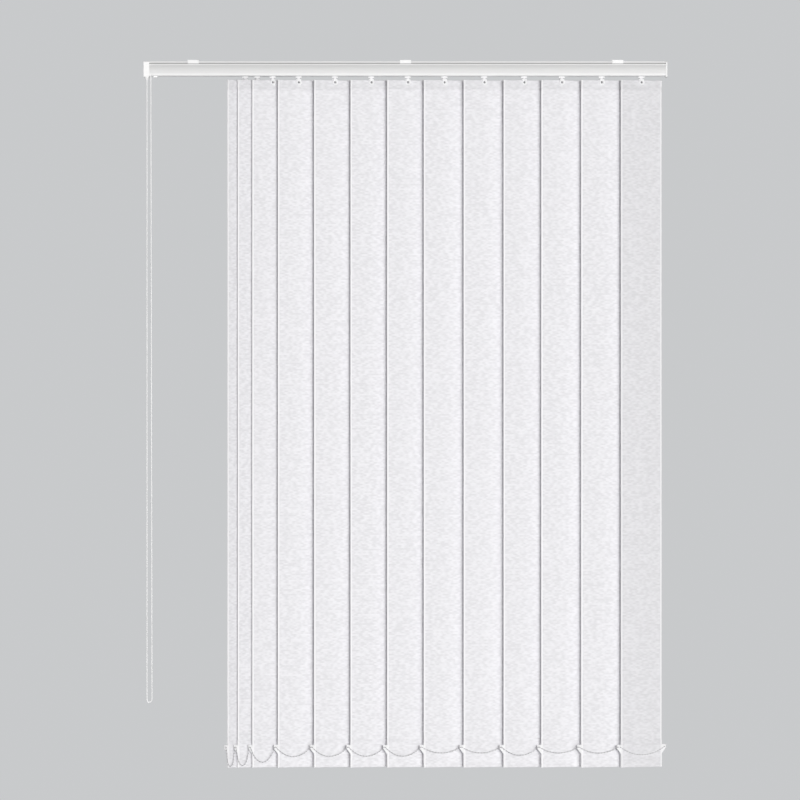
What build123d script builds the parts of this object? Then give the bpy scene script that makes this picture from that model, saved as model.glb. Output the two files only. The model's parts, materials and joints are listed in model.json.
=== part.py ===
from build123d import *
import math
import os

# A vertical blind: a ceiling-fixed aluminium headrail with fabric vanes that hang from
# sliding carriers, turn on their hooks and are linked at the foot by a light chain.
# Millimetres. Origin: centre hole of the middle ceiling bracket, on the ceiling plane.
# +X runs along the rail to the stack side, -Y faces the room, +Z is up.

# ---- overall sizes ----
HEADRAIL_LENGTH = 1046.0  # over both end pieces
VANE_LENGTH = 1374.0
VANE_WIDTH = 89.0
REST_TURN = 22.0  # degrees that a vane is turned out of the window plane
LEAD_TURNS = [39.0, 30.0, 25.0]  # the bunched lead vanes stand a little further open

# ---- headrail section ----
RAIL_TOP = -2.5
RAIL_HEIGHT = 29.0
RAIL_DEPTH = 44.0
RAIL_WALL = 1.5
SLOT_WIDTH = 14.0
LIP_HEIGHT = 3.2  # hooked lip that the brackets hold
GROOVE_DEPTH = 1.6
GROOVE_HEIGHT = 2.2
STEP_HEIGHT = 1.6  # flat band between the groove and the curved face
BELLY = 2.4  # how far the faces curve out
FOOT_RADIUS = 2.5

# ---- end pieces ----
HOUSING_LENGTH = 11.0
HOUSING_PLUG = 14.0
CAP_LENGTH = 3.0
CAP_PLUG = 9.0
END_DROP = 2.5  # the end pieces stand this far below the rail
PLUG_CLEARANCE = 0.3
STOP_LENGTH = 8.0
STOP_DROP = 2.6

# ---- ceiling brackets ----
BRACKET_SPACING = 424.0
BRACKET_WIDTH = 22.0
BRACKET_SHEET = 1.5
BRACKET_FIT = 0.1
HOOK_LIP = 1.0  # thickness of the hooks under the rail's lips
PAD_INSET = 4.0
PAD_DEPTH = 6.0
SCREW_HOLE_RADIUS = 2.25

# ---- carriers ----
CARRIER_LENGTH = 18.4
FULL_PITCH = 79.8
REST_GAPS = [24.0, 30.8, 52.0, 72.4, 72.8, 73.1, 73.3, 79.7, 79.7, 75.3, 79.7, 79.4]
LAST_CARRIER_TO_END = 51.4
CARRIER_DEPTH = 17.0
CARRIER_HEADROOM = 1.9  # plastic above the rod's bore
WHEEL_RADIUS = 4.0
WHEEL_WIDTH = 3.6
WHEEL_X = CARRIER_LENGTH / 4
AXLE_RADIUS = 1.4
RUN = 0.3  # running clearance
NECK_RADIUS = 4.4
WING_WIDTH = 12.0
WING_HEIGHT = 3.6
ROD_RADIUS = 3.0
ROD_DROP = 13.5  # rod centre below the rail top
FLUTE_RADIUS = 0.8
STRIP_SHEET = 0.4
STRIP_HEIGHT = 3.0
STRIP_LANE = 1.3
LANES = 5
STRIP_STOP = 0.5  # how far a strip's end stop stands out each side
STOP_SHEET = 1.0
STOP_GAP = 0.2
COMB_HALF = 1.0  # half the thickness of the comb that guides the strips
COMB_ROOM = 0.12
STRIP_FOOT = 4.0  # length of the strip's foot on its own carrier

# ---- hook, hanger, vane, weight ----
HOOK_RADIUS = 2.8
HOOK_FLARE = 4.4
RING_RADIUS = 5.4
RING_HOLE = 2.9
RING_SHEET = 1.8
RING_RISE = 1.2  # the ring stands this far above the vane
PIN_RADIUS = 1.4
PIN_FIT = 0.12
VANE_TOP = -39.5
FABRIC = 0.45
TOP_POCKET = 16.5
HANGER_SHEET = 1.5
HANGER_WIDTH = 58.0
HANGER_HEIGHT = 12.0
HANGER_DROP = 1.6
BOTTOM_POCKET = 56.0
WEIGHT_SHEET = 2.2
WEIGHT_WIDTH = 84.0
WEIGHT_HEIGHT = 38.0
WEIGHT_FOOT = 7.5  # weight's lower edge above the vane's foot
EAR_REACH = 8.7  # beyond the vane's edge
EAR_HEAD = 7.0
EAR_HEIGHT = 18.0
EAR_HOLE = 1.4
EAR_HOLE_IN = 3.6  # hole's centre from the ear's tip
EAR_HOLE_DOWN = 4.6
POCKET_FIT = 0.25

# ---- chain and control cord ----
CHAIN_RADIUS = 1.1
CHAIN_LENGTH = 81.0
LAST_CHAIN_SLACK = 1.04  # the run across the last vane's front
CORD_RADIUS = 1.25
CORD_INSET_Y = 4.8  # from the rail's front face to the cord's centre
CORD_INSET_X = 5.0  # from the housing's end to the outer strand
LOOP_WIDTH = 10.0
LOOP_FOOT = -1282.5
LOOP_LEAN = 2.3  # the return strand leans in towards the housing
GUIDE_RADIUS = 4.5
GUIDE_HEIGHT = 4.6
GUIDE_SHIFT = 1.2

# ---- drive ----
DRUM_RADIUS = 8.0
DRUM_LENGTH = 7.0
DRUM_ROOM = 1.0
END_WALL = 2.0  # of the housing, at the drum's outer end
ROD_INSET = 2.4

# ---- worked out ----
HALF = HEADRAIL_LENGTH / 2
RAIL_FOOT = RAIL_TOP - RAIL_HEIGHT
RAIL_LEFT = -HALF + HOUSING_LENGTH
RAIL_RIGHT = HALF - CAP_LENGTH
END_FOOT = RAIL_FOOT - END_DROP
INNER_TOP = RAIL_TOP - RAIL_WALL
INNER_FOOT = RAIL_FOOT + RAIL_WALL
INNER_HALF = RAIL_DEPTH / 2 - RAIL_WALL - BELLY
ROD_Z = RAIL_TOP - ROD_DROP
CORD_Y = CORD_INSET_Y - RAIL_DEPTH / 2
LEFT_STRAND_X = CORD_INSET_X - HALF
RIGHT_STRAND_X = LEFT_STRAND_X + LOOP_WIDTH
VANE_FOOT = VANE_TOP - VANE_LENGTH
RING_Z = VANE_TOP - RING_RADIUS + RING_RISE
WEIGHT_LOW = VANE_FOOT + WEIGHT_FOOT
WEIGHT_TOP = WEIGHT_LOW + WEIGHT_HEIGHT
EAR_TIP = VANE_WIDTH / 2 + EAR_REACH
EAR_HOLE_X = EAR_TIP - EAR_HOLE_IN
EAR_HOLE_Z = WEIGHT_TOP - EAR_HOLE_DOWN
CARRIER_TOP = ROD_Z + ROD_RADIUS + CARRIER_HEADROOM
STRIP_LOW = CARRIER_TOP + 0.2
HEAD_LOW = INNER_FOOT + 2.0  # the hook's head turns in a pocket above this
HEAD_HEIGHT = 3.4
TOP_INSIDE = HANGER_SHEET / 2 + POCKET_FIT
FOOT_INSIDE = WEIGHT_SHEET / 2 + POCKET_FIT

os.makedirs("parts", exist_ok=True)


def write(solids, name):
    """One node: a single solid, or a group of separate ones."""
    group = solids if isinstance(solids, list) else [solids]
    shape = group[0] if len(group) == 1 else Compound(children=group)
    export_step(shape, f"parts/{name}.step")


def block(x0, x1, y0, y1, z0, z1):
    """A box between two corners."""
    middle = Pos((x0 + x1) / 2, (y0 + y1) / 2, (z0 + z1) / 2)
    return middle * Box(x1 - x0, y1 - y0, z1 - z0)


def rod_x(radius, x0, x1, y, z):
    """A round bar along X."""
    return Pos((x0 + x1) / 2, y, z) * Rot(0, 90, 0) * Cylinder(radius, x1 - x0)


def rod_y(radius, y0, y1, x, z):
    """A round bar along Y."""
    return Pos(x, (y0 + y1) / 2, z) * Rot(90, 0, 0) * Cylinder(radius, y1 - y0)


def rod_z(radius, z0, z1, x, y):
    """A round bar along Z."""
    return Pos(x, y, (z0 + z1) / 2) * Cylinder(radius, z1 - z0)


def along_x(face, x0, x1):
    """A section drawn as (y, z), extruded along X."""
    placed = Plane(origin=(x0, 0, 0), x_dir=(0, 1, 0), z_dir=(1, 0, 0)) * face
    return extrude(placed, amount=x1 - x0)


def rail_outline():
    """The outside of the rail: hooked lips, a groove under them, bellied faces."""
    side = RAIL_DEPTH / 2 - BELLY
    groove_top = RAIL_TOP - LIP_HEIGHT
    groove_foot = groove_top - GROOVE_HEIGHT
    step_foot = groove_foot - STEP_HEIGHT
    turn = FOOT_RADIUS
    front = [
        Line((0, RAIL_TOP), (-side, RAIL_TOP)),
        Line((-side, RAIL_TOP), (-side, groove_top)),
        Line((-side, groove_top), (-side + GROOVE_DEPTH, groove_top)),
        Line((-side + GROOVE_DEPTH, groove_top), (-side + GROOVE_DEPTH, groove_foot)),
        Line((-side + GROOVE_DEPTH, groove_foot), (-side, groove_foot)),
        Line((-side, groove_foot), (-side, step_foot)),
        ThreePointArc(
            (-side, step_foot),
            (-side - BELLY, (step_foot + RAIL_FOOT + turn) / 2),
            (-side, RAIL_FOOT + turn),
        ),
        ThreePointArc(
            (-side, RAIL_FOOT + turn),
            (-side + turn * 0.293, RAIL_FOOT + turn * 0.293),
            (-side + turn, RAIL_FOOT),
        ),
        Line((-side + turn, RAIL_FOOT), (0, RAIL_FOOT)),
    ]
    half = make_face(front + [Line((0, RAIL_FOOT), (0, RAIL_TOP))])
    return half + mirror(half, Plane.YZ)


def rail_inside(fit=0.0):
    """The rail's bore, or with fit the section of what plugs into it."""
    high = INNER_TOP - INNER_FOOT - 2 * fit
    wide = 2 * (INNER_HALF - GROOVE_DEPTH - fit)
    return Pos(0, (INNER_TOP + INNER_FOOT) / 2) * Rectangle(wide, high)


def headrail():
    slot = Pos(0, RAIL_FOOT) * Rectangle(SLOT_WIDTH, 4 * RAIL_WALL)
    body = along_x(rail_outline() - rail_inside() - slot, RAIL_LEFT, RAIL_RIGHT)
    room = 3 * CORD_RADIUS
    notch = block(RAIL_LEFT - 1, RIGHT_STRAND_X - LOOP_LEAN + room, CORD_Y - room, CORD_Y + room,
                  RAIL_FOOT - 1, INNER_FOOT + 2 * PLUG_CLEARANCE)
    return body - notch


def control_housing():
    """The end housing with its plug, the cord guide, and the room for the drum."""
    side = RAIL_DEPTH / 2 - BELLY
    outer = block(-HALF, RAIL_LEFT, -side - BELLY, side + BELLY, END_FOOT, RAIL_TOP)
    outer = fillet(outer.edges().filter_by(Axis.X), 2.0)
    plug = along_x(rail_inside(PLUG_CLEARANCE), RAIL_LEFT, RAIL_LEFT + HOUSING_PLUG)
    cone = Rot(180, 0, 0) * Cone(GUIDE_RADIUS, GUIDE_RADIUS * 0.62, GUIDE_HEIGHT)
    guide = Pos(LEFT_STRAND_X + GUIDE_SHIFT, CORD_Y, END_FOOT - GUIDE_HEIGHT / 2) * cone
    room = rod_x(DRUM_RADIUS + DRUM_ROOM, -HALF + END_WALL, RAIL_LEFT + HOUSING_PLUG + 1, 0, ROD_Z)
    bearing = rod_x(ROD_RADIUS + RUN, -HALF + END_WALL / 2, -HALF + END_WALL + 0.5, 0, ROD_Z)
    return outer + plug + guide - room - bearing


def end_stop():
    """The clip at the control side that ends the lead carrier's travel."""
    right = FULLY_DRAWN_LEAD - CARRIER_LENGTH / 2 - RUN
    left = right - STOP_LENGTH
    neck = SLOT_WIDTH / 2 - 0.2
    wide = SLOT_WIDTH / 2 + 4
    high = INNER_FOOT + 2.0
    low = RAIL_FOOT - STOP_DROP
    clip = block(left, right, -neck, neck, low, high)
    clip += block(left, right, -wide, wide, INNER_FOOT + 0.05, high)
    return clip + block(left, right, -wide, wide, low, RAIL_FOOT - 0.05)


def idle_end_cap():
    side = RAIL_DEPTH / 2 - BELLY
    outer = block(RAIL_RIGHT, HALF, -side - BELLY, side + BELLY, END_FOOT, RAIL_TOP)
    outer = fillet(outer.edges().filter_by(Axis.X), 2.0)
    plug = along_x(rail_inside(PLUG_CLEARANCE), RAIL_RIGHT - CAP_PLUG, RAIL_RIGHT)
    bearing = rod_x(ROD_RADIUS + RUN, RAIL_RIGHT - CAP_PLUG - 1, RAIL_RIGHT, 0, ROD_Z)
    return outer + plug - bearing


def ceiling_bracket(x):
    """A sprung clip: a plate on the ceiling and two hooks round the rail's lips."""
    side = RAIL_DEPTH / 2 - BELLY
    x0, x1 = x - BRACKET_WIDTH / 2, x + BRACKET_WIDTH / 2
    reach = side + BRACKET_FIT + BRACKET_SHEET
    hook_top = RAIL_TOP - LIP_HEIGHT - BRACKET_FIT
    hook_foot = hook_top - HOOK_LIP
    clip = block(x0, x1, -reach, reach, -BRACKET_SHEET, 0)
    for sign in (-1, 1):
        clip += block(x0, x1, *sorted((sign * (side + BRACKET_FIT), sign * reach)), hook_foot, 0)
        inner = sign * (side - GROOVE_DEPTH + BRACKET_FIT)
        clip += block(x0, x1, *sorted((inner, sign * reach)), hook_foot, hook_top)
    pads = block(x0 + PAD_INSET, x1 - PAD_INSET, -side, side, RAIL_TOP, -BRACKET_SHEET)
    pads -= block(x0, x1, -side + PAD_DEPTH, side - PAD_DEPTH, RAIL_TOP - 1, 0)
    hole = rod_z(SCREW_HOLE_RADIUS, RAIL_TOP - 1, 1, x, 0)
    return clip + pads - hole


def tilt_rod():
    section = Circle(ROD_RADIUS)
    for turn in (90, 210, 330):
        section -= Rot(0, 0, turn) * Pos(ROD_RADIUS, 0) * Circle(FLUTE_RADIUS)
    return along_x(Pos(0, ROD_Z) * section, -HALF + ROD_INSET, RAIL_RIGHT - RUN)


def drive_drum():
    """The grooved drum on the rod's end that the control cord turns."""
    left = -HALF + END_WALL + 1.0
    drum = rod_x(DRUM_RADIUS, left, left + DRUM_LENGTH, 0, ROD_Z)
    middle = left + DRUM_LENGTH / 2
    groove = Pos(middle, 0, ROD_Z) * Rot(0, 90, 0) * Torus(DRUM_RADIUS, CORD_RADIUS + 0.4)
    bore = rod_x(ROD_RADIUS + 0.02, left - 1, left + DRUM_LENGTH + 1, 0, ROD_Z)
    return drum - groove - bore


def strip_y(number):
    """The lane of the spacer strip that is fixed to a carrier."""
    return (number % LANES - (LANES - 1) / 2) * STRIP_LANE


def carrier(number, x):
    """A carrier: body, comb for the spacer strips, four rollers and its own strip."""
    half = CARRIER_LENGTH / 2
    deep = CARRIER_DEPTH / 2
    axle_z = INNER_FOOT + RUN + WHEEL_RADIUS
    body = block(x - half, x + half, -deep, deep, INNER_FOOT + 1.2, CARRIER_TOP)
    body += rod_z(NECK_RADIUS + 1.2, RAIL_FOOT - 0.6, INNER_FOOT + 2, x, 0)
    body += block(x - WING_WIDTH / 2, x + WING_WIDTH / 2, -NECK_RADIUS, NECK_RADIUS,
                  RAIL_FOOT - WING_HEIGHT, RAIL_FOOT - 0.5)
    body -= rod_x(ROD_RADIUS + RUN, x - half - 1, x + half + 1, 0, ROD_Z)
    body -= rod_z(HOOK_RADIUS + RUN, RAIL_FOOT - 9, INNER_FOOT + 3, x, 0)
    body -= rod_z(HOOK_FLARE + RUN, HEAD_LOW, HEAD_LOW + HEAD_HEIGHT, x, 0)
    comb_top = STRIP_LOW + STRIP_HEIGHT + 0.4
    comb = block(x - COMB_HALF, x + COMB_HALF, -deep, deep, CARRIER_TOP - 0.1, comb_top)
    for lane in range(LANES):
        y = (lane - (LANES - 1) / 2) * STRIP_LANE
        own = lane == (number + 1) % LANES
        room = STRIP_SHEET / 2 + COMB_ROOM + (0 if own else STRIP_STOP)
        comb -= block(x - 2, x + 2, y - room, y + room, CARRIER_TOP, comb_top + 1)
    body += comb
    wheels = []
    for wheel_x in (x - WHEEL_X, x + WHEEL_X):
        for sign in (-1, 1):
            far = sign * (deep + RUN + WHEEL_WIDTH + 0.1)
            body += rod_y(AXLE_RADIUS, *sorted((sign * (deep - 1), far)), wheel_x, axle_z)
            inner = sign * (deep + RUN)
            span = sorted((inner, inner + sign * WHEEL_WIDTH))
            wheel = rod_y(WHEEL_RADIUS, *span, wheel_x, axle_z)
            wheels.append(wheel - rod_y(AXLE_RADIUS + 0.1, span[0] - 1, span[1] + 1, wheel_x, axle_z))
    solids = [body] + wheels
    if number > 1:
        solids.append(spacer_strip(number, x))
    return solids


def spacer_strip(number, x):
    """A thin strip, fixed to its carrier, that slides through those on the control side."""
    low_y, high_y = strip_y(number) - STRIP_SHEET / 2, strip_y(number) + STRIP_SHEET / 2
    high = STRIP_LOW + STRIP_HEIGHT
    end = x - FULL_PITCH - COMB_HALF - STOP_GAP
    foot_end = x - COMB_HALF - 0.4
    strip = block(end - STOP_SHEET, x + COMB_HALF + 0.5, low_y, high_y, STRIP_LOW, high)
    strip += block(foot_end - STRIP_FOOT, foot_end, low_y, high_y, CARRIER_TOP, high)
    strip += block(end - STOP_SHEET, end, low_y - STRIP_STOP, high_y + STRIP_STOP, STRIP_LOW, high)
    return strip


def rest_turn(number):
    """How far a vane is turned out of the window plane at rest."""
    return LEAD_TURNS[number - 1] if number <= len(LEAD_TURNS) else REST_TURN


def turned(shape, number):
    """A piece drawn square to the rail at the origin, turned to rest and placed."""
    return Pos(centres[number - 1], 0, 0) * Rot(0, 0, rest_turn(number)) * shape


def hook():
    """The turning hook: head, shank, flare, and a fork round the vane's top."""
    head = rod_z(HOOK_FLARE, HEAD_LOW + 0.2, HEAD_LOW + HEAD_HEIGHT - 0.2, 0, 0)
    shank = rod_z(HOOK_RADIUS, VANE_TOP + 3.6, INNER_FOOT + 3, 0, 0)
    flare = Pos(0, 0, VANE_TOP + 2.6) * Cone(HOOK_FLARE, HOOK_RADIUS, 2.0)
    front = TOP_INSIDE + FABRIC + RUN / 2
    yoke = block(-HOOK_FLARE, HOOK_FLARE, -front - RING_SHEET, front + RING_SHEET,
                 VANE_TOP + 0.2, VANE_TOP + 1.7)
    body = head + shank + flare + yoke
    for sign in (-1, 1):
        span = sorted((sign * front, sign * (front + RING_SHEET)))
        body += rod_y(RING_RADIUS, *span, 0, RING_Z)
        body += block(-HOOK_FLARE * 0.8, HOOK_FLARE * 0.8, *span, RING_Z, VANE_TOP + 1.7)
    body -= rod_y(RING_HOLE, -front - RING_SHEET - 1, 0, 0, RING_Z)
    return body + rod_y(PIN_RADIUS, -0.6, front + RING_SHEET, 0, RING_Z)


def hanger():
    """The plate in the vane's top pocket that the hook's pin carries."""
    top = VANE_TOP - HANGER_DROP
    plate = block(-HANGER_WIDTH / 2, HANGER_WIDTH / 2, -HANGER_SHEET / 2, HANGER_SHEET / 2,
                  top - HANGER_HEIGHT, top)
    plate = fillet(plate.edges().filter_by(Axis.Y), 2.0)
    return plate - rod_y(PIN_RADIUS + PIN_FIT, -3, 3, 0, RING_Z)


def vane():
    """The fabric strip with a welded pocket at each end, open at the sides."""
    thin = FABRIC
    top_low = VANE_TOP - TOP_POCKET
    foot_high = VANE_FOOT + BOTTOM_POCKET

    def layer(half_width, half_depth, low, high):
        return block(-half_width, half_width, -half_depth, half_depth, low, high)

    half = VANE_WIDTH / 2
    strip = layer(half, TOP_INSIDE + thin, top_low, VANE_TOP)
    strip -= layer(half + 1, TOP_INSIDE, top_low + thin, VANE_TOP - thin)
    strip += layer(half, thin / 2, foot_high - thin, top_low + thin)
    strip += layer(half, FOOT_INSIDE + thin, VANE_FOOT, foot_high)
    strip -= layer(half + 1, FOOT_INSIDE, VANE_FOOT + thin, foot_high - thin)
    return strip - rod_y(RING_HOLE, -5, 5, 0, RING_Z)


def weight():
    """The plate in the vane's foot pocket, with an eared hook at each top corner."""
    half = WEIGHT_WIDTH / 2
    shoulder = VANE_WIDTH / 2
    slant_foot = WEIGHT_TOP - EAR_HEIGHT
    outline = Polyline(
        (-EAR_TIP, WEIGHT_TOP),
        (-EAR_TIP, WEIGHT_TOP - EAR_HEAD),
        (-shoulder, slant_foot),
        (-half, slant_foot),
        (-half, WEIGHT_LOW),
        (half, WEIGHT_LOW),
        (half, slant_foot),
        (shoulder, slant_foot),
        (EAR_TIP, WEIGHT_TOP - EAR_HEAD),
        (EAR_TIP, WEIGHT_TOP),
        close=True,
    )
    face = Plane(origin=(0, WEIGHT_SHEET / 2, 0), x_dir=(1, 0, 0), z_dir=(0, -1, 0)) * make_face(outline)
    plate = extrude(face, amount=WEIGHT_SHEET)
    for sign in (-1, 1):
        plate -= rod_y(EAR_HOLE, -4, 4, sign * EAR_HOLE_X, EAR_HOLE_Z)
    return plate


def ear_point(number):
    """Where the chain hangs at a vane's left ear, just in front of the ear's tip."""
    x = centres[number - 1]
    turn = math.radians(rest_turn(number))
    tip = (EAR_TIP - EAR_HOLE_X) * math.sin(turn) + WEIGHT_SHEET / 2 * math.cos(turn)
    return (
        x - EAR_HOLE_X * math.cos(turn),
        -EAR_HOLE_X * math.sin(turn) - tip - RUN - CHAIN_RADIUS,
        EAR_HOLE_Z,
    )


def chain(start, end, length):
    """A hanging chain as a round bar: two legs joined by the largest arc."""
    span = math.dist(start, end)
    dip = math.sqrt(max(length**2 - span**2, 1.0)) / 2
    foot = [(a + b) / 2 for a, b in zip(start, end)]
    foot[2] -= dip
    leg = math.dist(start, foot)
    half_turn = math.pi / 2 - math.acos(min(dip / leg, 1.0))
    radius = 0.7 * leg / math.tan(half_turn)
    path = FilletPolyline(start, tuple(foot), end, radius=radius)
    return sweep(Plane(path @ 0, z_dir=path % 0) * Circle(CHAIN_RADIUS), path=path)


def control_cord():
    """One hanging loop: down from the cone guide, round, and up into the housing."""
    points = [
        (LEFT_STRAND_X, CORD_Y, END_FOOT - GUIDE_HEIGHT),
        (LEFT_STRAND_X, CORD_Y, LOOP_FOOT - 1.5),
        (RIGHT_STRAND_X, CORD_Y, LOOP_FOOT + 1.0),
        (RIGHT_STRAND_X - LOOP_LEAN, CORD_Y, INNER_FOOT + PLUG_CLEARANCE),
    ]
    radii = [LOOP_WIDTH * 0.49, LOOP_WIDTH * 0.49]
    path = FilletPolyline(*points, radius=radii)
    cord = sweep(Plane(path @ 0, z_dir=path % 0) * Circle(CORD_RADIUS), path=path)
    expected = math.pi * CORD_RADIUS**2 * path.length
    print(f"cord: length {path.length:.1f}, radii {radii}, volume {cord.volume:.1f} of {expected:.1f}")
    return cord


last_x = HALF - LAST_CARRIER_TO_END
FULLY_DRAWN_LEAD = last_x - FULL_PITCH * len(REST_GAPS)
centres = [last_x]
for gap in reversed(REST_GAPS):
    centres.insert(0, centres[0] - gap)

write(headrail(), "headrail")
write([control_housing(), end_stop()], "control_housing")
write(idle_end_cap(), "idle_end_cap")
write([ceiling_bracket(x) for x in (-BRACKET_SPACING, 0, BRACKET_SPACING)], "ceiling_brackets")
write(tilt_rod(), "tilt_rod")
write(drive_drum(), "drive_drum")
write(control_cord(), "control_cord")

hook_shape = hook()
hanger_shape = hanger()
vane_shape = vane()
weight_shape = weight()
for number, x in enumerate(centres, start=1):
    write(carrier(number, x), f"carrier_{number:02d}")
    write(turned(vane_shape, number), f"vane_{number:02d}")
    parts = [turned(shape, number) for shape in (hook_shape, hanger_shape, weight_shape)]
    write(parts, f"fittings_{number:02d}")

hold = CHAIN_RADIUS + RUN
for number in range(1, len(centres)):
    start = ear_point(number)
    end = ear_point(number + 1)
    start = (start[0] + hold, start[1], start[2])
    end = (end[0] - hold, end[1], end[2])
    write(chain(start, end, CHAIN_LENGTH), f"chain_{number:02d}")

chain_end = Pos(-EAR_HOLE_X, 0, WEIGHT_TOP + hold) * Sphere(CHAIN_RADIUS)
write(turned(chain_end, 1), "chain_end")
front = -(FOOT_INSIDE + FABRIC + RUN + CHAIN_RADIUS)
left_end = (-EAR_HOLE_X + 2 * hold, front, EAR_HOLE_Z)
right_end = (EAR_HOLE_X, front, EAR_HOLE_Z)
last_run = chain(left_end, right_end, LAST_CHAIN_SLACK * math.dist(left_end, right_end))
write(turned(last_run, len(centres)), f"chain_{len(centres):02d}")
print("carrier centres", [round(x, 1) for x in centres], "lead fully drawn", FULLY_DRAWN_LEAD)
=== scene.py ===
"""The looks of a vertical blind: folded cloth vanes, bead chains, the control cord and
the finish of every piece, with stage, lights and camera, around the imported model."""

import json
import math

import bmesh
import bpy
from mathutils import Matrix, Vector


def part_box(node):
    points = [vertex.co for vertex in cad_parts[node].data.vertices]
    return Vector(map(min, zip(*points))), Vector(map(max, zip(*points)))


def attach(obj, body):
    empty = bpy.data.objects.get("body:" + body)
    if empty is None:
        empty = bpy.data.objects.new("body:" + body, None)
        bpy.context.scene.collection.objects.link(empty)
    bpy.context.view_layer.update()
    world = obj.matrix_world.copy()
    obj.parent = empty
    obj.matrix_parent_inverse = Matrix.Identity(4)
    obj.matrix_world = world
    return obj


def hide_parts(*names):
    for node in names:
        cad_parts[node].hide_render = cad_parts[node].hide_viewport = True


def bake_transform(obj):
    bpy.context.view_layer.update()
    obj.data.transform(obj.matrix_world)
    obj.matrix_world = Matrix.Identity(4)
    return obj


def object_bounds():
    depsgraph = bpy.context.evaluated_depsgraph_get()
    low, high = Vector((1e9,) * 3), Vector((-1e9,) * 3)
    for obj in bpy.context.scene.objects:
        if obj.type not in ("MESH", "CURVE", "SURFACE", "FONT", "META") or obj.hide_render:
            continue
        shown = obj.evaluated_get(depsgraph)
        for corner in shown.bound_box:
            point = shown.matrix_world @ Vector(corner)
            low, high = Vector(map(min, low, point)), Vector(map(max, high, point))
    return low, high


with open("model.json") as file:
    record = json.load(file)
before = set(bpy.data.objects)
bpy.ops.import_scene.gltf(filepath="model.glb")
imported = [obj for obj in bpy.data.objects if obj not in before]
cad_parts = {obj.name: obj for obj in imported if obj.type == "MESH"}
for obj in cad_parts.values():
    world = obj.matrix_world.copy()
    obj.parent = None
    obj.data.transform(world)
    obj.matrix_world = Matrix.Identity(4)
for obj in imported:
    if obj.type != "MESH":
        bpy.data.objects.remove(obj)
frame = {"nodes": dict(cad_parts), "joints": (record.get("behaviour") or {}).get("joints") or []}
cad_low, cad_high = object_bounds()
nodes = frame["nodes"]
scene = bpy.context.scene
MM = 0.001

# ---- what the frame says ----
VANES = sorted(n for n in nodes if n.startswith("vane_"))
COUNT = len(VANES)
hinge_x = {j["child"]: j["pos_m"][0] for j in frame["joints"] if j["name"].startswith("tilt_")}
RAIL_FOOT, RAIL_TOP = (corner[2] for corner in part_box("headrail"))
VANE_LOW, VANE_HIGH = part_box(VANES[0])
VANE_TOP = VANE_HIGH[2]
VANE_FOOT = VANE_LOW[2]
VANE_WIDTH = 89 * MM
REST_TURN = 22.0  # degrees out of the window plane
LEAD_TURNS = [39.0, 30.0, 25.0]  # the bunched lead vanes stand a little further open

# ---- vane, as cut and folded ----
FABRIC = 0.45 * MM
WEFT_ROW = 3.1 * MM
DASH = 9.0 * MM  # a slub's length along its row
ROW_JUMP = 7.31  # texture units from row to row, so that two rows never match
RIB_SCALE = (420, 2300, 1)
# width of the painted highlight along a vane's edge
EDGE_HIGHLIGHT_WIDTH = 3.0 * MM
CLOTH_SHIFT = (0.37, 0.11)  # metres of weave between one vane's cloth and the next
WAVE = 0.25 * MM
WAVE_FADE = 0.12  # metres over which the wave dies out at each pocket
CLOTH_ROWS = 70
FOLD_STEPS = 6
WELD = 0.9 * MM
TOP_POCKET = 16.5 * MM
FOOT_POCKET = 56 * MM
TOP_HALF = 1.15 * MM  # from the middle of the hanger plate to the middle of the cloth
FOOT_HALF = 1.5 * MM
RING_DROP = 4.2 * MM  # ring centre below the vane's top
HOLE = 3.1 * MM

# ---- chain ----
EAR_HOLE_X = 49.6 * MM
EAR_HOLE_Z = VANE_FOOT + 40.9 * MM
EAR_TIP = 53.2 * MM
WEIGHT_SHEET = 2.2 * MM
RUN = 0.3 * MM
BEAD = 1.1 * MM
THREAD = 0.4 * MM
BEAD_PITCH = 5.8 * MM
CHAIN_LENGTH = 81 * MM
LAST_CHAIN_SLACK = 1.07
LAST_CHAIN_FRONT = -3.0 * MM
CHAIN_INSET = 1.4 * MM
THREAD_SIDES = 5
LINK_WIRE = 0.32 * MM
LINK_SIDES = 6
LINK_STEPS = 10
LINK_HALF = (1.9 * MM, 1.6 * MM)  # half its depth and half its height
LINK_LEAN = 0.2 * MM  # so that the link's two ends lie side by side

# ---- pin head ----
PIN_RADIUS = 2.2 * MM
PIN_BACK = -0.8 * MM
PIN_RISE = 0.7 * MM
PIN_SIDES = 20
PIN_LEVELS = 4

# ---- control cord ----
CORD_DIAMETER = 2.5 * MM
CORD_POINTS = [  # millimetres, from the exit down, round the foot and up again
    (-516.5, -17.2, -38.6),
    (-516.5, -17.2, -53.5),
    (-516.5, -17.2, -1269.0),
    (-516.5, -17.2, -1284.0),
    (-506.5, -17.2, -1281.5),
    (-506.5, -17.2, -1266.5),
    (-508.7, -17.2, -44.5),
    (-508.8, -17.2, -29.7),
]

# ---- room, light and camera ----
WORLD_LIGHT = 0.09
PALE = (0.58, 0.59, 0.60, 1)
FLOOR_HALF = 12.0
FLOOR_DROP = 0.84
FLOOR_GLOW = 0.17
FLOOR_EVENNESS = 0.8  # how much of the floor that is seen is plain pale
BLIND_MIDDLE = (0, 0, -0.7)
KEY_COLOUR = (1.0, 0.995, 0.985)
LIGHTS = [  # name, place, aimed at, size, watts, colour
    ("key_narrow", (1.9, -18.0, -0.3), BLIND_MIDDLE, (1.0, 1.0), 1375, KEY_COLOUR),
    ("key_broad", (4.0, -17.5, 0.3), BLIND_MIDDLE, (3.0, 2.0), 750, KEY_COLOUR),
    ("low_fill", (0.9, -4.2, -1.5), (0, 0, -0.4), (1.3, 0.8), 17, (1, 1, 1)),
    ("overhead", (0, 0, 5.0), (0, 0, -1.5), (7.0, 7.0), 52, (1, 1, 1)),
    ("back", (-4.5, 7.0, 1.5), BLIND_MIDDLE, (3.0, 3.0), 200, (1, 1, 1)),
]
CAMERA_PLACE = (-0.011, -14.0, -0.679)
SEEN_WIDTH = 1.6  # metres across the picture at the blind
SENSOR = 36  # millimetres


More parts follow.
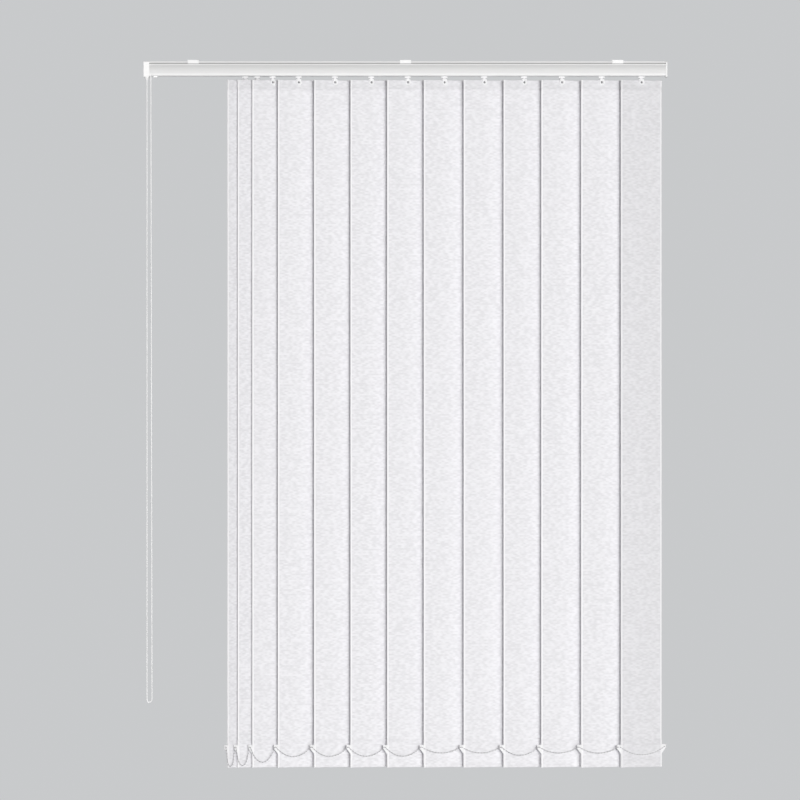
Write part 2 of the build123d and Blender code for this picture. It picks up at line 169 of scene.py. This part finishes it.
# ================= materials =================
def new_material(name):
    material = bpy.data.materials.new(name)
    material.use_nodes = True
    tree = material.node_tree
    return material, tree, tree.nodes["Principled BSDF"]


def object_place(tree):
    return tree.nodes.new("ShaderNodeTexCoord").outputs["Object"]


def uv_place(tree, layer):
    node = tree.nodes.new("ShaderNodeUVMap")
    node.uv_map = layer
    return node.outputs["UV"]


def split(tree, vector):
    """A vector's X, Y and Z sockets."""
    node = tree.nodes.new("ShaderNodeSeparateXYZ")
    tree.links.new(vector, node.inputs["Vector"])
    return node.outputs


def noise(tree, vector, scale, detail=2.0, roughness=0.5):
    node = tree.nodes.new("ShaderNodeTexNoise")
    node.inputs["Scale"].default_value = scale
    node.inputs["Detail"].default_value = detail
    node.inputs["Roughness"].default_value = roughness
    tree.links.new(vector, node.inputs["Vector"])
    return node.outputs["Fac"]


def stretched(tree, source, scale):
    """A texture vector, scaled along each axis."""
    mapping = tree.nodes.new("ShaderNodeMapping")
    mapping.inputs["Scale"].default_value = scale
    tree.links.new(source, mapping.inputs["Vector"])
    return mapping.outputs["Vector"]


def ramp(tree, factor, low, high, start=0.3, stop=0.7):
    """Two colours across a factor."""
    node = tree.nodes.new("ShaderNodeValToRGB")
    node.color_ramp.elements[0].position = start
    node.color_ramp.elements[0].color = (*low, 1)
    node.color_ramp.elements[1].position = stop
    node.color_ramp.elements[1].color = (*high, 1)
    tree.links.new(factor, node.inputs["Fac"])
    return node.outputs["Color"]


def bump(tree, shader, height, strength, distance):
    node = tree.nodes.new("ShaderNodeBump")
    node.inputs["Strength"].default_value = strength
    node.inputs["Distance"].default_value = distance
    tree.links.new(height, node.inputs["Height"])
    tree.links.new(node.outputs["Normal"], shader.inputs["Normal"])


def math_node(tree, operation, first, second=0.0):
    node = tree.nodes.new("ShaderNodeMath")
    node.operation = operation
    tree.links.new(first, node.inputs[0])
    node.inputs[1].default_value = second
    return node.outputs[0]


def mixed(tree, factor, plain, other):
    """A colour that turns from a socket's colour to a fixed one where the factor is 1."""
    node = tree.nodes.new("ShaderNodeMix")
    node.data_type = "RGBA"
    tree.links.new(factor, node.inputs["Factor"])
    tree.links.new(plain, node.inputs["A"])
    node.inputs["B"].default_value = (*other, 1)
    return node.outputs["Result"]


def add(tree, a, b, weight):
    """a + weight * b"""
    node = tree.nodes.new("ShaderNodeMath")
    node.operation = "MULTIPLY_ADD"
    tree.links.new(b, node.inputs[0])
    node.inputs[1].default_value = weight
    tree.links.new(a, node.inputs[2])
    return node.outputs[0]


def woven_rows(tree, source):
    """Texture vectors that jump from one weft row to the next, so each dash lies level."""
    place = split(tree, source)
    row = math_node(tree, "FLOOR", math_node(tree, "MULTIPLY", place["Y"], 1 / WEFT_ROW))
    together = tree.nodes.new("ShaderNodeCombineXYZ")
    tree.links.new(math_node(tree, "MULTIPLY", place["X"], 1 / DASH), together.inputs["X"])
    tree.links.new(math_node(tree, "MULTIPLY", row, ROW_JUMP), together.inputs["Y"])
    return together.outputs["Vector"]


def edge_highlight(tree, both):
    """1 along the vane's left edge, or along both, where the painted highlight goes, and 0
    elsewhere.
    """
    across = split(tree, uv_place(tree, "across"))["X"]
    reach = math_node(tree, "ABSOLUTE" if both else "MULTIPLY", across, -1.0)
    return math_node(tree, "GREATER_THAN", reach, VANE_WIDTH / 2 - EDGE_HIGHLIGHT_WIDTH)


def height_bands(tree, low, high, stops):
    """Grey levels up an object between two heights, from (height 0 to 1, level) pairs."""
    height = tree.nodes.new("ShaderNodeMapRange")
    height.inputs["From Min"].default_value = low
    height.inputs["From Max"].default_value = high
    tree.links.new(split(tree, object_place(tree))["Z"], height.inputs["Value"])
    band = tree.nodes.new("ShaderNodeValToRGB")
    elements = band.color_ramp.elements
    while len(elements) < len(stops):
        elements.new(0.5)
    for element, (where, level) in zip(elements, stops):
        element.position = where
        element.color = (level, level, level, 1)
    tree.links.new(height.outputs["Result"], band.inputs["Fac"])
    return band.outputs["Color"]


def pocket_shade(tree):
    """The top pocket is painted a shade darker, as painted shade under the rail, and each weld
    is a fine line.
    """
    length = VANE_TOP - VANE_FOOT
    weld = WELD / length
    foot_seam = FOOT_POCKET / length
    top_seam = 1 - TOP_POCKET / length
    stops = [(0.0, 1.0), (foot_seam - weld, 1.0), (foot_seam, 0.9), (foot_seam + weld, 1.0)]
    stops += [(top_seam - weld, 1.0), (top_seam, 0.88), (top_seam + weld, 0.92), (1.0, 0.94)]
    return height_bands(tree, VANE_FOOT, VANE_TOP, stops)


def fabric_material(name, shade, both_edges=False):
    """Off-white slub weave: short level dashes, lighter and darker, over a fine rib."""
    material, tree, shader = new_material(name)
    source = uv_place(tree, "cloth")
    slub = noise(tree, woven_rows(tree, source), 1.0, 0.0, 0.5)
    rib = noise(tree, stretched(tree, source, RIB_SCALE), 1.0, 1.0, 0.5)
    height = add(tree, slub, rib, 0.35)
    tones = [(0.768, 0.764, 0.787), (0.878, 0.874, 0.9), (0.96, 0.955, 0.97)]
    low, high, edge = (tuple(shade * c for c in tone) for tone in tones)
    colour = ramp(tree, height, low, high, 0.475, 0.875)
    # Painted highlight: the third, lighter tone along the vane's left edge, or along both edges
    # on the last vane.
    colour = mixed(tree, edge_highlight(tree, both_edges), colour, edge)
    # Painted shade: the top pocket darker, as under the rail; the welds are fine darker lines.
    pocket_shaded = tree.nodes.new("ShaderNodeMix")
    pocket_shaded.data_type = "RGBA"
    pocket_shaded.blend_type = "MULTIPLY"
    pocket_shaded.inputs["Factor"].default_value = 1.0
    tree.links.new(colour, pocket_shaded.inputs["A"])
    tree.links.new(pocket_shade(tree), pocket_shaded.inputs["B"])
    tree.links.new(pocket_shaded.outputs["Result"], shader.inputs["Base Color"])
    bump(tree, shader, height, 0.35, 0.0004)
    shader.inputs["Roughness"].default_value = 0.85
    shader.inputs["Sheen Weight"].default_value = 0.15
    shader.inputs["Specular IOR Level"].default_value = 0.25
    return material


def rail_material():
    """White powder coat, with painted shade: darker up the face, a painted highlight on the step
    and painted shade in the groove.
    """
    material, tree, shader = new_material("rail_paint")
    place = object_place(tree)
    # Painted shade and light: lighter at the foot, darker up the face, a painted highlight on
    # the step, painted shade in the groove under the lip.
    face = [(0.0, 0.88), (0.13, 0.88), (0.2, 0.79), (0.3, 0.75), (0.41, 0.72), (0.55, 0.70)]
    step = [(0.74, 0.70), (0.76, 0.82), (0.805, 0.82)]
    groove_and_lip = [(0.82, 0.38), (0.885, 0.38), (0.9, 0.72), (1.0, 0.74)]
    stops = face + step + groove_and_lip
    tree.links.new(height_bands(tree, RAIL_FOOT, RAIL_TOP, stops), shader.inputs["Base Color"])
    bump(tree, shader, noise(tree, place, 900.0, 2.0), 0.06, 0.0002)
    shader.inputs["Roughness"].default_value = 0.55
    shader.inputs["Specular IOR Level"].default_value = 0.3
    return material


def painted_material(name, colour, roughness):
    """Powder coat: a pale colour with a faint fine peel."""
    material, tree, shader = new_material(name)
    place = object_place(tree)
    fine = noise(tree, place, 900.0, 2.0)
    broad = noise(tree, stretched(tree, place, (3, 40, 40)), 1.0, 1.0)
    low = tuple(c * 0.975 for c in colour)
    tree.links.new(ramp(tree, broad, low, colour), shader.inputs["Base Color"])
    bump(tree, shader, fine, 0.06, 0.0002)
    shader.inputs["Roughness"].default_value = roughness
    return material


def plastic_material(name, colour, roughness):
    """Moulded plastic with a slight mottle and a soft surface."""
    material, tree, shader = new_material(name)
    place = object_place(tree)
    mottle = noise(tree, place, 160.0, 2.0)
    low = tuple(c * 0.96 for c in colour)
    tree.links.new(ramp(tree, mottle, low, colour), shader.inputs["Base Color"])
    bump(tree, shader, noise(tree, place, 1400.0, 1.0), 0.05, 0.0001)
    shader.inputs["Roughness"].default_value = roughness
    return material


def metal_material():
    """Extruded aluminium with fine lines along the bar."""
    material, tree, shader = new_material("rod_metal")
    place = object_place(tree)
    lines = noise(tree, stretched(tree, place, (4, 900, 900)), 1.0, 2.0)
    colour = ramp(tree, lines, (0.62, 0.62, 0.64), (0.76, 0.76, 0.78))
    tree.links.new(colour, shader.inputs["Base Color"])
    shader.inputs["Metallic"].default_value = 1.0
    shader.inputs["Roughness"].default_value = 0.35
    return material


def cord_material():
    """White braid: small slanting strands."""
    material, tree, shader = new_material("cord_white")
    place = object_place(tree)
    wave = tree.nodes.new("ShaderNodeTexWave")
    wave.wave_type = "BANDS"
    wave.bands_direction = "DIAGONAL"
    wave.inputs["Scale"].default_value = 260.0
    wave.inputs["Distortion"].default_value = 1.0
    tree.links.new(place, wave.inputs["Vector"])
    strand = wave.outputs["Fac"]
    colour = ramp(tree, strand, (0.88, 0.88, 0.89), (0.96, 0.96, 0.96))
    tree.links.new(colour, shader.inputs["Base Color"])
    bump(tree, shader, strand, 0.4, 0.0002)
    shader.inputs["Roughness"].default_value = 0.75
    return material


FABRIC_LOOK = fabric_material("vane_fabric", 1.0)
LAST_FABRIC_LOOK = fabric_material("vane_fabric_last_painted_shade", 0.93, True)  # painted shade: 7% darker, as in the window recess's shade, with the painted highlight on both edges
RAIL_LOOK = rail_material()
BRACKET_LOOK = painted_material("bracket_steel", (0.85, 0.85, 0.85), 0.42)
HOUSING_LOOK = plastic_material("white_plastic", (0.93, 0.93, 0.93), 0.45)
CAP_LOOK = plastic_material("cap_plastic", (0.80, 0.80, 0.80), 0.45)
CARRIER_LOOK = plastic_material("carrier_plastic", (0.80, 0.80, 0.81), 0.5)
FITTING_LOOK = plastic_material("clear_white_plastic", (0.94, 0.94, 0.95), 0.35)
CHAIN_LOOK = plastic_material("chain_plastic", (0.52, 0.52, 0.53), 0.35)
# Painted shade: pin heads dark grey for the shade inside the rings' holes.
PIN_LOOK = plastic_material("pin_shadow_grey", (0.22, 0.22, 0.23), 0.6)
ROD_LOOK = metal_material()
CORD_LOOK = cord_material()


def finish_cad(name, look):
    """Gives a CAD node its finish."""
    data = nodes[name].data
    data.materials.clear()
    data.materials.append(look)


# ================= helpers =================
def new_piece(name, data, look):
    piece = bpy.data.objects.new(name, data)
    scene.collection.objects.link(piece)
    data.materials.append(look)
    return piece


def riding(name, data, look, body):
    piece = new_piece(name, data, look)
    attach(piece, body)
    return piece


def finished(mesh, name):
    """The built mesh as data of that name."""
    data = bpy.data.meshes.new(name)
    mesh.to_mesh(data)
    mesh.free()
    return data


def neighbours(points, index):
    """The way a line of points runs at one of them."""
    return points[min(index + 1, len(points) - 1)] - points[max(index - 1, 0)]


def circle(mesh, centre, across, up, radius, sides):
    spots = []
    for step in range(sides):
        turn = 2 * math.pi * step / sides
        out = across * math.cos(turn) + up * math.sin(turn)
        spots.append(mesh.verts.new(centre + out * radius))
    return spots


def bridge(mesh, rings):
    """Smooth faces from each ring of points to the next."""
    for near, far in zip(rings, rings[1:]):
        for step in range(len(near)):
            after = (step + 1) % len(near)
            mesh.faces.new([near[step], near[after], far[after], far[step]]).smooth = True


def rest_turn(number):
    """How far a vane is turned out of the window plane at rest, in radians."""
    degrees = LEAD_TURNS[number - 1] if number <= len(LEAD_TURNS) else REST_TURN
    return math.radians(degrees)


def vane_matrix(number):
    """Where a vane's own frame sits: turned to rest at its hook."""
    body = f"louvre_{number:02d}"
    return Matrix.Translation((hinge_x[body], 0, 0)) @ Matrix.Rotation(rest_turn(number), 4, "Z")


# ================= vanes =================
def cloth_profile():
    """The strip's path from the top pocket's seam, over the top, down the front and
    round the foot to the foot pocket's seam: (y, z) with y towards the window."""
    seam_top = VANE_TOP - TOP_POCKET
    seam_foot = VANE_FOOT + FOOT_POCKET
    lap = FABRIC * 1.05
    ring = VANE_TOP - RING_DROP
    fold = VANE_TOP - FABRIC / 2
    points = [
        (lap, seam_top + 0.2 * MM),
        (TOP_HALF * 0.75, seam_top + 2 * MM),
        (TOP_HALF, seam_top + 5 * MM),
        (TOP_HALF, ring - HOLE),
        (TOP_HALF, ring + HOLE),
        (TOP_HALF, fold - 0.5 * MM),
        (TOP_HALF * 0.7, fold),
        (-TOP_HALF * 0.7, fold),
        (-TOP_HALF, fold - 0.3 * MM),
        (-TOP_HALF, ring + HOLE),
        (-TOP_HALF, ring - HOLE),
        (-TOP_HALF, seam_top + 5 * MM),
        (-TOP_HALF * 0.6, seam_top + 1.8 * MM),
        (0.05 * MM, seam_top),
        (-0.05 * MM, seam_top - 2 * MM),
    ]
    body_top = seam_top - 8 * MM
    body_foot = seam_foot + 6 * MM
    for step in range(CLOTH_ROWS + 1):
        points.append((0.0, body_top + (body_foot - body_top) * step / CLOTH_ROWS))
    points += [
        (-0.05 * MM, seam_foot + 2 * MM),
        (0.05 * MM, seam_foot),
        (-FOOT_HALF * 0.6, seam_foot - 2.5 * MM),
        (-FOOT_HALF, seam_foot - 6 * MM),
        (-FOOT_HALF, VANE_FOOT + 30 * MM),
        (-FOOT_HALF, VANE_FOOT + 9 * MM),
        (-FOOT_HALF * 0.9, VANE_FOOT + 5 * MM),
    ]
    centre = VANE_FOOT + FOOT_HALF + FABRIC / 2
    for step in range(FOLD_STEPS + 1):
        turn = math.pi * (1 + step / FOLD_STEPS)
        points.append((FOOT_HALF * math.cos(turn), centre + FOOT_HALF * math.sin(turn)))
    points += [
        (FOOT_HALF, VANE_FOOT + 9 * MM),
        (FOOT_HALF, VANE_FOOT + 30 * MM),
        (FOOT_HALF, seam_foot - 9 * MM),
        (FOOT_HALF * 0.7, seam_foot - 2.5 * MM),
        (lap, seam_foot - 0.2 * MM),
    ]
    return points


def cloth_columns():
    """Places across the strip, closer at the edges and at the ring's hole."""
    between = [8, 15, 22, 29, 35, 39.5, 42.5, 43.9]
    right = [HOLE] + [x * MM for x in between] + [VANE_WIDTH / 2]
    return [-x for x in reversed(right)] + [0.0] + right


def vane_mesh(number):
    """The folded strip, slightly bowed and waved so that no two hang just alike."""
    profile = cloth_profile()
    columns = cloth_columns()
    phase = number * 1.7
    mesh = bmesh.new()
    uv_layer = mesh.loops.layers.uv.new("cloth")
    across_layer = mesh.loops.layers.uv.new("across")
    place = vane_matrix(number)
    grid = []
    along = [0.0]
    for before, after in zip(profile, profile[1:]):
        along.append(along[-1] + math.dist(before, after))
    for y, z in profile:
        below = min(max((VANE_TOP - TOP_POCKET - z) / WAVE_FADE, 0), 1)
        above = min(max((z - VANE_FOOT - FOOT_POCKET) / WAVE_FADE, 0), 1)
        hang = below * above
        row = []
        for x in columns:
            wave = 0.55 * math.sin(5.1 * z + phase) + 0.3 * math.sin(11.3 * z + 2.1 * phase)
            bow = 0.5 * math.cos(math.pi * x / VANE_WIDTH) * math.sin(3.0 * z + phase * 0.7)
            point = Vector((x, y + hang * (wave + bow) * WAVE, z))
            row.append(mesh.verts.new(place @ point))
        grid.append(row)
    for r in range(len(profile) - 1):
        for c in range(len(columns) - 1):
            z = (profile[r][1] + profile[r + 1][1]) / 2
            x = (columns[c] + columns[c + 1]) / 2
            if abs(x) < HOLE and abs(z - VANE_TOP + RING_DROP) < HOLE * 0.99:
                continue
            corners = [(r, c), (r, c + 1), (r + 1, c + 1), (r + 1, c)]
            face = mesh.faces.new([grid[i][j] for i, j in corners])
            face.smooth = True
            for loop, (i, j) in zip(face.loops, corners):
                shift_x, shift_y = (shift * number for shift in CLOTH_SHIFT)
                loop[uv_layer].uv = (columns[j] + shift_x, along[i] + shift_y)
                loop[across_layer].uv = (columns[j], along[i])
    mesh.normal_update()
    return finished(mesh, f"vane_cloth_{number:02d}"), along[-1]


def build_vane(number):
    body = f"louvre_{number:02d}"
    data, cut = vane_mesh(number)
    # The last vane takes the fabric copy painted darker with painted shade.
    look = LAST_FABRIC_LOOK if number == COUNT else FABRIC_LOOK
    cloth = riding(f"vane_cloth_{number:02d}", data, look, body)
    thick = cloth.modifiers.new("cloth", "SOLIDIFY")
    thick.thickness = FABRIC
    thick.offset = 0.0
    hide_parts(f"vane_{number:02d}")


# ================= chain =================
def ear_point(number):
    """Where the chain hangs at a vane's left ear, just in front of the ear's tip."""
    x = hinge_x[f"louvre_{number:02d}"]
    turn = rest_turn(number)
    tip = (EAR_TIP - EAR_HOLE_X) * math.sin(turn) + WEIGHT_SHEET / 2 * math.cos(turn)
    return Vector((
        x - EAR_HOLE_X * math.cos(turn),
        -EAR_HOLE_X * math.sin(turn) - tip - RUN - BEAD,
        EAR_HOLE_Z,
    ))


def hanging(start, end, length, count):
    """Even points along a chain of that length, hung level between two points."""
    span = (end - start).length
    low, high = 1e-4, 50.0
    for _ in range(80):  # the catenary's spread, by halving
        middle = (low + high) / 2
        if 2 * middle * math.sinh(span / (2 * middle)) > length:
            low = middle
        else:
            high = middle
    spread = (low + high) / 2
    lift = spread * math.cosh(span / (2 * spread))
    points = []
    for step in range(count + 1):
        arc = length * (step / count - 0.5)
        x = spread * math.asinh(arc / spread)
        z = spread * math.cosh(x / spread) - lift
        along = start.lerp(end, 0.5 + x / span)
        points.append(Vector((along.x, along.y, along.z + z)))
    return points


def bead_chain(name, points):
    """Small beads on a thread."""
    mesh = bmesh.new()
    for point in points:
        bmesh.ops.create_uvsphere(
            mesh, u_segments=8, v_segments=6, radius=BEAD, matrix=Matrix.Translation(point)
        )
    up = Vector((0, 1, 0))
    rings = []
    for index, point in enumerate(points):
        across = neighbours(points, index).cross(up).normalized()
        rings.append(circle(mesh, point, across, up, THREAD, THREAD_SIDES))
    bridge(mesh, rings)
    for face in mesh.faces:
        face.smooth = True
    mesh.normal_update()
    return finished(mesh, name)


def build_chain(number):
    """The length from one vane's left ear to the next one's."""
    start, end = ear_point(number), ear_point(number + 1)
    inset = Vector((CHAIN_INSET, 0, 0))
    count = round(CHAIN_LENGTH / BEAD_PITCH)
    points = hanging(start + inset, end - inset, CHAIN_LENGTH, count)
    name = f"bead_chain_{number:02d}"
    piece = new_piece(name, bead_chain(name, points), CHAIN_LOOK)
    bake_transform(piece)
    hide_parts(f"chain_{number:02d}")


def build_last_chain():
    """The run across the front of the last vane, from ear to ear."""
    place = vane_matrix(COUNT)
    start = place @ Vector((2 * CHAIN_INSET - EAR_HOLE_X, LAST_CHAIN_FRONT, EAR_HOLE_Z))
    end = place @ Vector((EAR_HOLE_X, LAST_CHAIN_FRONT, EAR_HOLE_Z))
    length = (end - start).length * LAST_CHAIN_SLACK
    count = round(length / BEAD_PITCH)
    name = "bead_chain_last"
    data = bead_chain(name, hanging(start, end, length, count))
    piece = riding(name, data, CHAIN_LOOK, f"louvre_{COUNT:02d}")
    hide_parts(f"chain_{COUNT:02d}")


def build_link(number):
    """The small open link that hangs the chain from an ear."""
    middle = ear_point(number)
    mesh = bmesh.new()
    deep, high = LINK_HALF
    across = Vector((1, 0, 0))
    points = []
    for step in range(LINK_STEPS + 1):
        part = step / LINK_STEPS
        turn = math.pi * (0.15 + 1.7 * part)
        offset = Vector((LINK_LEAN * part, deep + deep * math.cos(turn), high * math.sin(turn)))
        points.append(middle + offset)
    rings = []
    for index, point in enumerate(points):
        up = neighbours(points, index).normalized().cross(across).normalized()
        rings.append(circle(mesh, point, across, up, LINK_WIRE, LINK_SIDES))
    bridge(mesh, rings)
    mesh.faces.new(rings[0])
    mesh.faces.new(list(reversed(rings[-1])))
    mesh.normal_update()
    name = f"chain_link_{number:02d}"
    data = finished(mesh, name)
    piece = riding(name, data, FITTING_LOOK, f"swivel_{number:02d}")
    if number == 1:
        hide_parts("chain_end")


def build_pin_head(number):
    """The domed end of the hook's pin, seen in the ring's hole, coloured dark grey as painted
    shade in the hole.
    """
    place = vane_matrix(number) @ Matrix.Translation((0, 0, VANE_TOP - RING_DROP))
    mesh = bmesh.new()
    rings = []
    for level in range(PIN_LEVELS):
        slope = math.pi / 2 * level / PIN_LEVELS
        centre = place @ Vector((0, PIN_BACK - PIN_RISE * math.sin(slope), 0))
        across = place.to_3x3() @ Vector((1, 0, 0))
        reach = PIN_RADIUS * math.cos(slope)
        rings.append(circle(mesh, centre, across, Vector((0, 0, 1)), reach, PIN_SIDES))
    bridge(mesh, rings)
    tip = mesh.verts.new(place @ Vector((0, PIN_BACK - PIN_RISE, 0)))
    for step in range(PIN_SIDES):
        after = (step + 1) % PIN_SIDES
        mesh.faces.new([rings[-1][step], rings[-1][after], tip]).smooth = True
    mesh.faces.new(list(reversed(rings[0])))
    bmesh.ops.recalc_face_normals(mesh, faces=mesh.faces)
    name = f"pin_head_{number:02d}"
    riding(name, finished(mesh, name), PIN_LOOK, f"louvre_{number:02d}")


# ================= control cord =================
def build_cord():
    """The hanging loop: out of the cone guide, round at the foot, back into the housing."""
    curve = bpy.data.curves.new("control_cord_loop", "CURVE")
    curve.dimensions = "3D"
    spline = curve.splines.new("NURBS")
    spline.points.add(len(CORD_POINTS) - 1)
    for point, place in zip(spline.points, CORD_POINTS):
        point.co = (*(value * MM for value in place), 1)
    spline.order_u = 3
    spline.use_endpoint_u = True
    spline.resolution_u = 12
    curve.bevel_depth = CORD_DIAMETER / 2
    curve.bevel_resolution = 3
    piece = riding("control_cord_loop", curve, CORD_LOOK, "rail")
    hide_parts("control_cord")


# ================= room, light, camera =================
def soft_light(name, place, target, size, power, colour):
    lamp = bpy.data.lights.new(name, "AREA")
    lamp.shape = "RECTANGLE"
    lamp.size, lamp.size_y = size
    lamp.energy = power
    lamp.color = colour
    thing = bpy.data.objects.new(name, lamp)
    scene.collection.objects.link(thing)
    thing.location = place
    thing.rotation_euler = (Vector(target) - Vector(place)).to_track_quat("-Z", "Y").to_euler()


def build_stage():
    """A wide pale floor, as far below the blind as under a window."""
    floor_z = cad_low[2] - FLOOR_DROP
    mesh = bmesh.new()
    corners = [(-1, -1), (1, -1), (1, 1), (-1, 1)]
    mesh.faces.new(
        [mesh.verts.new((x * FLOOR_HALF, y * FLOOR_HALF, floor_z)) for x, y in corners]
    )
    data = finished(mesh, "floor")
    floor = bpy.data.objects.new("floor", data)
    scene.collection.objects.link(floor)
    material, tree, shader = new_material("floor_paper")
    place = object_place(tree)
    tree.links.new(
        ramp(tree, noise(tree, place, 1.2, 2.0), (0.84, 0.84, 0.845), (0.87, 0.87, 0.875)),
        shader.inputs["Base Color"],
    )
    shader.inputs["Roughness"].default_value = 0.9
    shader.inputs["Emission Color"].default_value = (1, 1, 1, 1)
    shader.inputs["Emission Strength"].default_value = FLOOR_GLOW
    glow = tree.nodes.new("ShaderNodeEmission")
    glow.inputs["Color"].default_value = PALE
    evened = tree.nodes.new("ShaderNodeMixShader")
    seen = tree.nodes.new("ShaderNodeLightPath")
    share = math_node(tree, "MULTIPLY", seen.outputs["Is Camera Ray"], FLOOR_EVENNESS)
    tree.links.new(share, evened.inputs["Fac"])
    tree.links.new(shader.outputs["BSDF"], evened.inputs[1])
    tree.links.new(glow.outputs["Emission"], evened.inputs[2])
    output = next(n for n in tree.nodes if n.type == "OUTPUT_MATERIAL")
    tree.links.new(evened.outputs["Shader"], output.inputs["Surface"])
    data.materials.append(material)


def build_world():
    """Dim even light from all round, with a pale backdrop behind the blind."""
    world = bpy.data.worlds.new("studio")
    scene.world = world
    world.use_nodes = True
    tree = world.node_tree
    dim = tree.nodes["Background"]
    dim.inputs["Color"].default_value = (0.96, 0.97, 1.0, 1)
    dim.inputs["Strength"].default_value = WORLD_LIGHT
    pale = tree.nodes.new("ShaderNodeBackground")
    pale.inputs["Color"].default_value = PALE
    mix = tree.nodes.new("ShaderNodeMixShader")
    seen = tree.nodes.new("ShaderNodeLightPath")
    tree.links.new(seen.outputs["Is Camera Ray"], mix.inputs["Fac"])
    tree.links.new(dim.outputs["Background"], mix.inputs[1])
    tree.links.new(pale.outputs["Background"], mix.inputs[2])
    tree.links.new(mix.outputs["Shader"], tree.nodes["World Output"].inputs["Surface"])


def build_light():
    """A narrow and a broad key, both a little right of the camera, a low fill that
    brightens the rail's lower edge, and soft light from above and behind."""
    for lamp in LIGHTS:
        soft_light(*lamp)
    scene.view_settings.view_transform = "Standard"


def build_camera():
    data = bpy.data.cameras.new("camera")
    camera = bpy.data.objects.new("camera", data)
    scene.collection.objects.link(camera)
    data.sensor_width = SENSOR
    data.lens = SENSOR * -CAMERA_PLACE[1] / SEEN_WIDTH
    camera.location = CAMERA_PLACE
    camera.rotation_euler = (math.pi / 2, 0, 0)
    scene.camera = camera


build_camera()
build_cord()
for number in range(1, COUNT + 1):
    build_vane(number)
    build_link(number)
    build_pin_head(number)
    finish_cad(f"carrier_{number:02d}", CARRIER_LOOK)
    finish_cad(f"fittings_{number:02d}", FITTING_LOOK)
for number in range(1, COUNT):
    build_chain(number)
build_last_chain()
finish_cad("headrail", RAIL_LOOK)
finish_cad("ceiling_brackets", BRACKET_LOOK)
finish_cad("control_housing", HOUSING_LOOK)
finish_cad("idle_end_cap", CAP_LOOK)
finish_cad("tilt_rod", ROD_LOOK)
finish_cad("drive_drum", CARRIER_LOOK)
build_stage()
build_world()
build_light()
